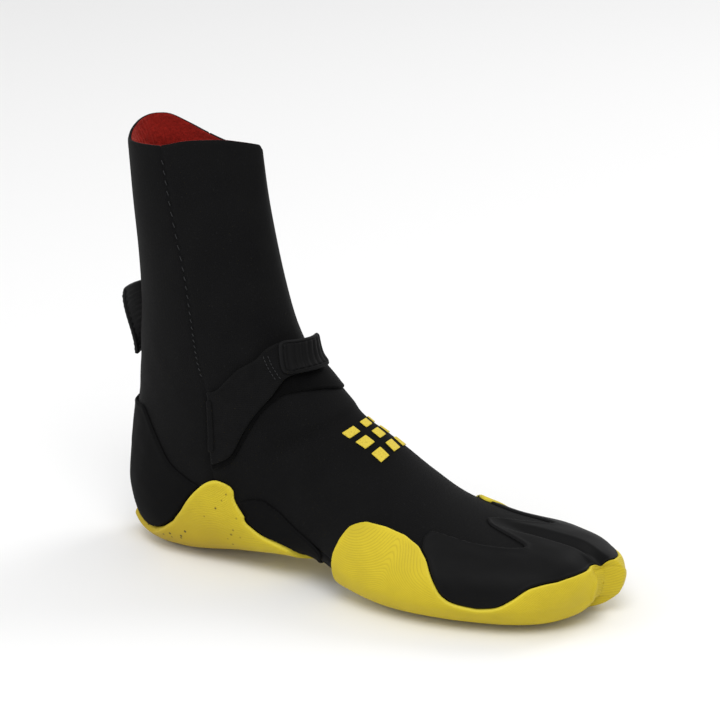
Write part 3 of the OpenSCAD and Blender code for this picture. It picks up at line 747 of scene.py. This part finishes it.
# ---- Lining, footbed and inner tapes ----
LINING_D = -NEOPRENE - GAP
LINING_JOIN = 6.35
FOOTBED_D = LINING_D - LINING - GAP
FOOTBED_T = 2.0
TAPE_D = LINING_D - LINING - 0.5
TAPE_T = 0.5


def plush_face(t, v, d, p):
    """The pile's inner face, which the tapes and footbed need clear, so the tufts only stand back from it."""
    tuft = 0.22 * (1 + waves(p, 1.3, 7)) + 0.15 * (1 + waves(p, 6, 8))
    return skin(t, v, LINING_D - LINING + tuft + 0.25 * bell(d / 1.2) + rim_press(t, v))


def lining_back(t, v, d, p):
    return skin(t, v, LINING_D - 0.25 * bell(d / 1.2) + rim_press(t, v))


def lining(name, t0, t1, step, mask):
    obj = shell(name + "_plush", rows(t0, t1, step), columns(-180, 180, step), mask, plush_face, lining_back,
                [PLUSH_MAT])
    return place(obj, "boot", "plush", name)


lining("shaft_lining", -0.4, LINING_JOIN + 0.1, 0.8,
       lambda t, v: np.minimum(below_rim(t, v), STATION_DEG * (LINING_JOIN - t)))
lining("foot_lining", LINING_JOIN - 0.1, 17.1, 1.4,
       lambda t, v: STATION_DEG * np.minimum(t - LINING_JOIN - 0.04, 17 - t))

place(shell("footbed_foam", rows(8.4, 15.4, 1.2), columns(130, 230, 1.2),
            lambda t, v: soft_min(44 - from_bottom(v), STATION_DEG * np.minimum(t - 8.6, 15.2 - t), 12),
            lambda t, v, d, p: skin(t, v, FOOTBED_D - rounded(d, 0.8, FOOTBED_T, 2.5)
                                    + 0.12 * (1 + waves(p, 4, 9))),
            lambda t, v, d, p: skin(t, v, FOOTBED_D), [FOAM_MAT]), "boot", "foam", "footbed")


def seam_tape(name, middle):
    half = 7
    obj = shell(name + "_woven", rows(0.5, 7.6, 0.9), columns(middle - half - 1, middle + half + 1, 0.7, 3.0),
                lambda t, v: soft_min(half + 0.5 - np.abs(v - middle),
                                      STATION_DEG * np.minimum(t - 0.6, 7.5 - t), 3),
                lambda t, v, d, p: skin(t, v, TAPE_D - rounded(d, 0.2, TAPE_T, 0.6)
                                        + 0.05 * (1 + waves(p, 2, 10))),
                lambda t, v, d, p: skin(t, v, TAPE_D), [TAPE_MAT])
    return place(obj, "boot", "tape", name)


seam_tape("lateral_seam_tape", 278)
seam_tape("medial_seam_tape", 82)

# ---- Outsole ----
OUTSOLE_T, LOBE_T = 3.4, 1.7
# Middles of the rings that the fine ridges follow, in x and climb
RIDGE_MIDDLES = [(-88.0, 62.0), (12.0, 62.0), (80.0, 50.0)]


def sole_t(t, v):
    return OUTSOLE_T + (LOBE_T - OUTSOLE_T) * np.maximum(smooth((from_bottom(v) - 45) / 30),
                                                         smooth((t - 17.2) / 1.2))


def ridge_run(p):
    """The distance that the fine concentric ridges count, in millimetres."""
    climb = p[..., 2] + 0.55 * (np.abs(p[..., 1]) - 45)
    rings = [np.hypot(p[..., 0] - x, 1.2 * (climb - z)) for x, z in RIDGE_MIDDLES]
    sharp = 0.6
    return -np.log(sum(np.exp(-sharp * ring) for ring in rings)) / sharp + 1.2 * waves(p, 16, 11)


def sole_face(t, v, d, p):
    base = skin(t, v, GAP + rounded(d, 0.35, 1, 1.3) * sole_t(t, v))
    base[..., 2] = np.maximum(base[..., 2], 0)
    return base


sole = shell("outsole_rubber", rows(7.4, TIP_END, 0.62), columns(0, 360, 0.62), in_sole,
             lambda t, v, d, p: skin(t, v, GAP), sole_face, [SOLE_MAT])
place(sole, "boot", "sole_rubber", "outsole")
sole_points = np.zeros(3 * len(sole.data.vertices))
sole.data.vertices.foreach_get("co", sole_points)
set_attribute(sole.data, "ring", ridge_run(sole_points.reshape(-1, 3) / MM) * MM)

# ---- Thin black rubber overlays ----
OVERLAY_T = 0.9


def overlay_face(t, v, d, p):
    """A rounded lip along the edge, and a slow unevenness of the film."""
    lip = 0.2 * bell(np.abs(d - 1.3) / 1.3)
    uneven = 0.12 * (1 + waves(p, 7, 13)) * smooth(d / 4)
    return skin(t, v, GAP + rounded(d, 0.2, OVERLAY_T, 0.9) + lip - uneven)


def overlay(name, t0, t1, v0, v1, mask, mat):
    obj = shell(name + "_film", rows(t0, t1, 0.75), columns(v0, v1, 0.75),
                lambda t, v: np.minimum(mask(t, v), -EDGE_GAP - in_sole(t, v)),
                lambda t, v, d, p: skin(t, v, GAP), overlay_face, [mat])
    return place(obj, "boot", "overlay_rubber", name)


overlay("toe_overlay", 13, TIP_END, -150, 150,
        lambda t, v: STATION_DEG * (t - lookup(from_top(v), TOE_EDGE, 1.2)), OVERLAY_MAT)
overlay("heel_counter", 5.3, 8.5, 85, 275,
        lambda t, v: soft_min(np.minimum(STATION_DEG * (t - 5.42), STATION_DEG * (8.4 - t)),
                              lookup(t, COUNTER_EDGE, 0.15) - from_bottom(v), 3), COUNTER_MAT)
for side_name, v0, v1 in (("lateral", 200, 290), ("medial", 70, 160)):
    overlay("arch_overlay_" + side_name, 8.7, 11.5, v0, v1,
            lambda t, v: soft_min(np.minimum(lookup(t, ARCH_EDGE, 0.15) - from_bottom(v),
                                             from_bottom(v) - 30),
                                  STATION_DEG * np.minimum(t - 8.9, 11.35 - t), 4), COUNTER_MAT)

# ---- Heel pull tab: a ribbed slab that hugs the shaft and leans away from it ----
PULL_BASE, PULL_TOP = (3.4, 104), (-3.5, 138)
PULL_W, PULL_T, PULL_RIBS, PULL_RIB = 22.0, 2.8, 12, 0.6
PULL_HUG = 2.4


def pull_tab():
    """The slab as a closed grid: height, then round a section of straight faces and round edges."""
    high, ring = 140, 96
    u = np.linspace(0, 1, high)[:, None]
    a = np.linspace(0, 2 * np.pi, ring, endpoint=False)[None, :]
    corner = smooth((1 - u) / 0.12) * 0.16 + 0.84
    y = PULL_W / 2 * np.sign(np.cos(a)) * np.abs(np.cos(a)) ** 0.35 * corner
    round_top = 0.55 + 0.45 * np.sqrt(np.clip((1 - u) / 0.05, 0, 1))
    thick = np.sign(np.sin(a)) * np.abs(np.sin(a)) ** 0.5 * round_top
    rib = np.where(thick > 0, PULL_RIB, PULL_RIB / 2) * (0.5 - 0.5 * np.cos(2 * np.pi * PULL_RIBS * u))
    rib = rib * smooth((PULL_W / 2 - np.abs(y) - 1.2) / 1.2) * smooth((0.96 - u) / 0.05)
    middle = PULL_BASE[0] + (PULL_TOP[0] - PULL_BASE[0]) * smooth(1.1 * u)
    x = middle - thick * (PULL_T / 2 + np.abs(rib)) + PULL_HUG * (y / (PULL_W / 2)) ** 2
    z = PULL_BASE[1] + (PULL_TOP[1] - PULL_BASE[1]) * u + 0 * a
    verts = np.stack([x, y + ORIGIN[1] + 0 * u, z], -1).reshape(-1, 3) - ORIGIN
    i, k = np.meshgrid(np.arange(high - 1), np.arange(ring), indexing="ij")
    j = (k + 1) % ring
    quads = np.stack([i * ring + k, (i + 1) * ring + k, (i + 1) * ring + j, i * ring + j], -1).reshape(-1, 4)
    caps = np.array([np.arange(ring), (high - 1) * ring + np.arange(ring)[::-1]])
    return mesh_object("heel_pull_tab_rubber", verts, [quads, caps], materials=[TAB_MAT], sharp_deg=60)


pull = pull_tab()
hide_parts("heel_pull_tab")
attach(pull, "pull_tab")

# ---- Ankle strap ----
STRAP_T, TAB_T, HOOK_T, LOOP_T, ANCHOR_T = 1.0, 1.6, 0.5, 0.5, 0.5
LANDING_D = GAP
LOOP_D = LANDING_D + STRAP_T + GAP
HOOK_D = LOOP_D + LOOP_T + GAP
STRAP_D = HOOK_D + HOOK_T + GAP
TAB_D = STRAP_D + STRAP_T + GAP


def strap_base(v):
    return LOOP_D + (STRAP_D - LOOP_D) * smooth((v + 60) / 22)


STRAP_LEAN = 2.6


def strap_skin(t, v, d):
    """The skin under the strap, which stands off the boot at its upper edge in front."""
    return skin(t, v, d + STRAP_LEAN * smooth((v + 40) / 40) * smooth((4.4 - t) / 1.1))


def webbing(name, v0, v1, upper, lower, under, base, mat):
    """A strap with soft edges and a bound edge along each side."""
    def face(t, v, d, p):
        bound = 0.12 * bell(np.abs(d - 1.1) / 0.9)
        return under(t, v, base(v) + rounded(d, 0.4, STRAP_T - 0.12, 0.8) + bound)
    return shell(name + "_webbing", rows(2.8, 7.6, 0.6, 330.0), columns(v0 - 1, v1 + 1, 0.6, 4.5),
                 band_mask(upper, lower, v0, v1), lambda t, v, d, p: under(t, v, base(v)), face, [mat])


# The strap is sewn down at the lateral seam and bends next to it
strap = webbing("instep_strap", -80.8, 10.5, STRAP_UPPER, STRAP_LOWER, strap_skin, strap_base, WEBBING_MAT)
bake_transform(strap)
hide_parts("instep_strap")
landing = webbing("landing_strap", -81.6, 76.5, LANDING_UPPER, LANDING_LOWER, skin,
                  lambda v: LANDING_D + 0 * v, LANDING_MAT)
place(landing, "boot", "webbing", "landing_strap")

TAB_FROM, TAB_TO, TAB_TOP, TAB_BOTTOM = -30.4, 12.4, 3.31, 4.49
TAB_RIBS, TAB_SLANT, TAB_TILT, TAB_CORNER = 8, 6, 0.0045, 6


def tab_skin(t, u, d):
    """The skin in the tab's own frame, whose ends slant and whose long sides tilt."""
    return strap_skin(t + TAB_TILT * (u - (TAB_FROM + TAB_TO) / 2),
                      u - TAB_SLANT * (t - (TAB_TOP + TAB_BOTTOM) / 2), d)


def tab_face(t, u, d, p):
    """A raised rim round a tray with rounded ribs across it."""
    rim = 0.5 * bell(np.abs(d - 1.2) / 0.9)
    share = (u - TAB_FROM) / (TAB_TO - TAB_FROM) * TAB_RIBS
    rib = 0.7 * np.abs(np.sin(np.pi * share)) ** 0.8 * smooth((d - 1.8) / 0.8)
    return tab_skin(t, u, TAB_D + rounded(d, 0.7, TAB_T - 0.35, 1.0) + rim + rib)


grip_tab = shell("strap_grip_tab_rubber", rows(3.1, 4.7, 0.32, 330.0),
                 columns(TAB_FROM - 1, TAB_TO + 1, 0.3, 4.5),
                 tile_mask(TAB_TOP, TAB_BOTTOM, TAB_FROM, TAB_TO, TAB_CORNER),
                 lambda t, u, d, p: tab_skin(t, u, TAB_D), tab_face, [TAB_MAT])
place(grip_tab, "strap", "tab_rubber", "strap_grip_tab")


def patch(name, t0, t1, v0, v1, under, base, thick, knob, mat):
    """A tile of hook or loop tape with a fine field of knobs."""
    def face(t, v, d, p):
        field = np.sin(2 * np.pi * p[..., 1] / 1.3) * np.sin(2 * np.pi * (p[..., 0] + 1.6 * p[..., 2]) / 1.9)
        return under(t, v, base + rounded(d, 0.3, thick, 0.5) - knob * (1 - field) * smooth(d / 1.2))
    return shell(name + "_pile", rows(t0 - 0.1, t1 + 0.1, 0.4, 350.0), columns(v0 - 1, v1 + 1, 0.4, 4.5),
                 tile_mask(t0, t1, v0, v1, 2), lambda t, v, d, p: under(t, v, base), face, [mat])


hook = patch("hook_patch", 3.7, 4.35, -26, 6, strap_skin, HOOK_D, HOOK_T, 0.12, HOOK_MAT)
place(hook, "strap", "hook_tape", "hook_patch")
loop = patch("loop_patch", 3.75, 4.4, -28, 8, skin, LOOP_D, LOOP_T, 0.1, LOOP_MAT)
place(loop, "boot", "loop_tape", "loop_patch")


ANCHOR_FROM, ANCHOR_TO = 5.1, 6.7


def anchor(name, v0, v1, base):
    """A patch over a fixed end of a strap."""
    obj = shell(name + "_webbing", rows(4.9, 6.8, 0.5), columns(v0 - 1, v1 + 1, 0.45, 5.5),
                tile_mask(ANCHOR_FROM, ANCHOR_TO, v0, v1, 2), lambda t, v, d, p: skin(t, v, base),
                lambda t, v, d, p: skin(t, v, base + rounded(d, 0.1, ANCHOR_T, 1)), [NEOPRENE_MAT])
    return place(obj, "boot", "webbing", name)


anchor("strap_anchor_lateral", -81.5, -78.7, LOOP_D + STRAP_T + 0.1)
anchor("strap_anchor_medial", 69.7, 76.3, LOOP_D)

# ---- Thread ----
THREAD_R = 0.24


def stitch(t, v, half_t, half_v, d):
    """A short bowed path over the skin."""
    share = np.linspace(-1, 1, 9)
    return skin(t + half_t * share, v + half_v * share, d + 0.22 * (1 - share**2))


SEAM_STITCHES = 26
for side_name, v in (("lateral", 278.0), ("medial", 82.0)):
    paths = [stitch(0.25 + 4.3 * i / SEAM_STITCHES, v, 0.04, 0.5, -0.05) for i in range(SEAM_STITCHES)]
    place(threads(side_name + "_seam_thread", paths, THREAD_R, THREAD_MAT), "boot", "thread",
          side_name + "_seam_stitches")
paths = [stitch(4.1 + 0.12 * i, v, 0.045, 0, STRAP_D + STRAP_T + 0.15)
         for v in (-40, -37) for i in range(-3, 4)]
place(threads("strap_thread", paths, THREAD_R, THREAD_MAT), "strap", "thread", "strap_stitches")

# ---- Print: nine small plain squares on the instep ----
PRINT_T = 0.3
PRINT_FIRST, PRINT_PITCH, PRINT_HALF = (8.95, -19), (0.85, 17), (0.27, 5)


def print_mask(t, v):
    """Positive inside any of the squares."""
    squares = [soft_min(STATION_DEG / 2 * (PRINT_HALF[0] - np.abs(t - PRINT_FIRST[0] - PRINT_PITCH[0] * i)),
                        PRINT_HALF[1] - np.abs(v - PRINT_FIRST[1] - PRINT_PITCH[1] * j), 0.8)
               for i in range(3) for j in range(3)]
    return np.max(squares, axis=0)


place(shell("instep_print_ink", rows(8.4, 10.9, 0.3, 350.0), columns(-26, 22, 0.35, 9.7), print_mask,
            lambda t, v, d, p: skin(t, v, 0.1),
            lambda t, v, d, p: skin(t, v, 0.1 + rounded(d, 0.1, 0.2 + PRINT_T, 0.5)), [INK_MAT]),
      "boot", "print_ink", "instep_print")

# ---- Floor, light and camera ----
bpy.ops.mesh.primitive_plane_add(size=12, location=(0, 0, -0.0002))
floor = bpy.context.object
floor.name = "floor"
floor_mat, _, floor_shader = material("pale_floor", 0.9, 0.1)
floor_shader.inputs["Base Color"].default_value = (0.86, 0.86, 0.86, 1)
floor.data.materials.append(floor_mat)


def area_light(name, location, aim, size, power):
    light = bpy.data.lights.new(name, "AREA")
    light.shape = "DISK"
    light.size = size
    light.energy = power
    obj = bpy.data.objects.new(name, light)
    bpy.context.scene.collection.objects.link(obj)
    obj.location = location
    obj.rotation_euler = (Vector(aim) - Vector(location)).to_track_quat("-Z", "Y").to_euler()


lo, hi = (Vector(c) for c in cad_box)
middle = (lo + hi) / 2
area_light("key", middle + Vector((0.5, -0.9, 1.5)), middle, 1.2, 16)
area_light("fill", middle + Vector((-1.3, -1.1, 0.8)), middle, 1.4, 7)
area_light("rim", middle + Vector((0.6, 1.4, 1.2)), middle, 1.0, 10)
world = bpy.data.worlds.new("studio")
bpy.context.scene.world = world
world.use_nodes = True
world.node_tree.nodes["Background"].inputs["Color"].default_value = (1, 1, 1, 1)
world.node_tree.nodes["Background"].inputs["Strength"].default_value = 0.7

camera = bpy.data.objects.new("camera", bpy.data.cameras.new("camera"))
bpy.context.scene.collection.objects.link(camera)
camera.data.lens = 158.8
camera.data.sensor_width = 36
CAMERA_AZIMUTH, CAMERA_ELEVATION, CAMERA_DISTANCE = np.radians(28.8), np.radians(20.6), 1.63
to_camera = Vector((np.sin(CAMERA_AZIMUTH) * np.cos(CAMERA_ELEVATION),
                    -np.cos(CAMERA_AZIMUTH) * np.cos(CAMERA_ELEVATION), np.sin(CAMERA_ELEVATION)))
boot_middle = Vector((-0.001, -0.0007, 0.0994))
camera.location = boot_middle + CAMERA_DISTANCE * to_camera
screen_up = to_camera.cross(Vector((0, 0, 1)).cross(to_camera)).normalized()
aim = boot_middle + 0.0185 * screen_up
camera.rotation_mode = "QUATERNION"
camera.rotation_quaternion = (aim - camera.location).to_track_quat("-Z", "Y")
camera.data.clip_end = 20
bpy.context.scene.camera = camera
bpy.context.scene.view_settings.view_transform = "Standard"
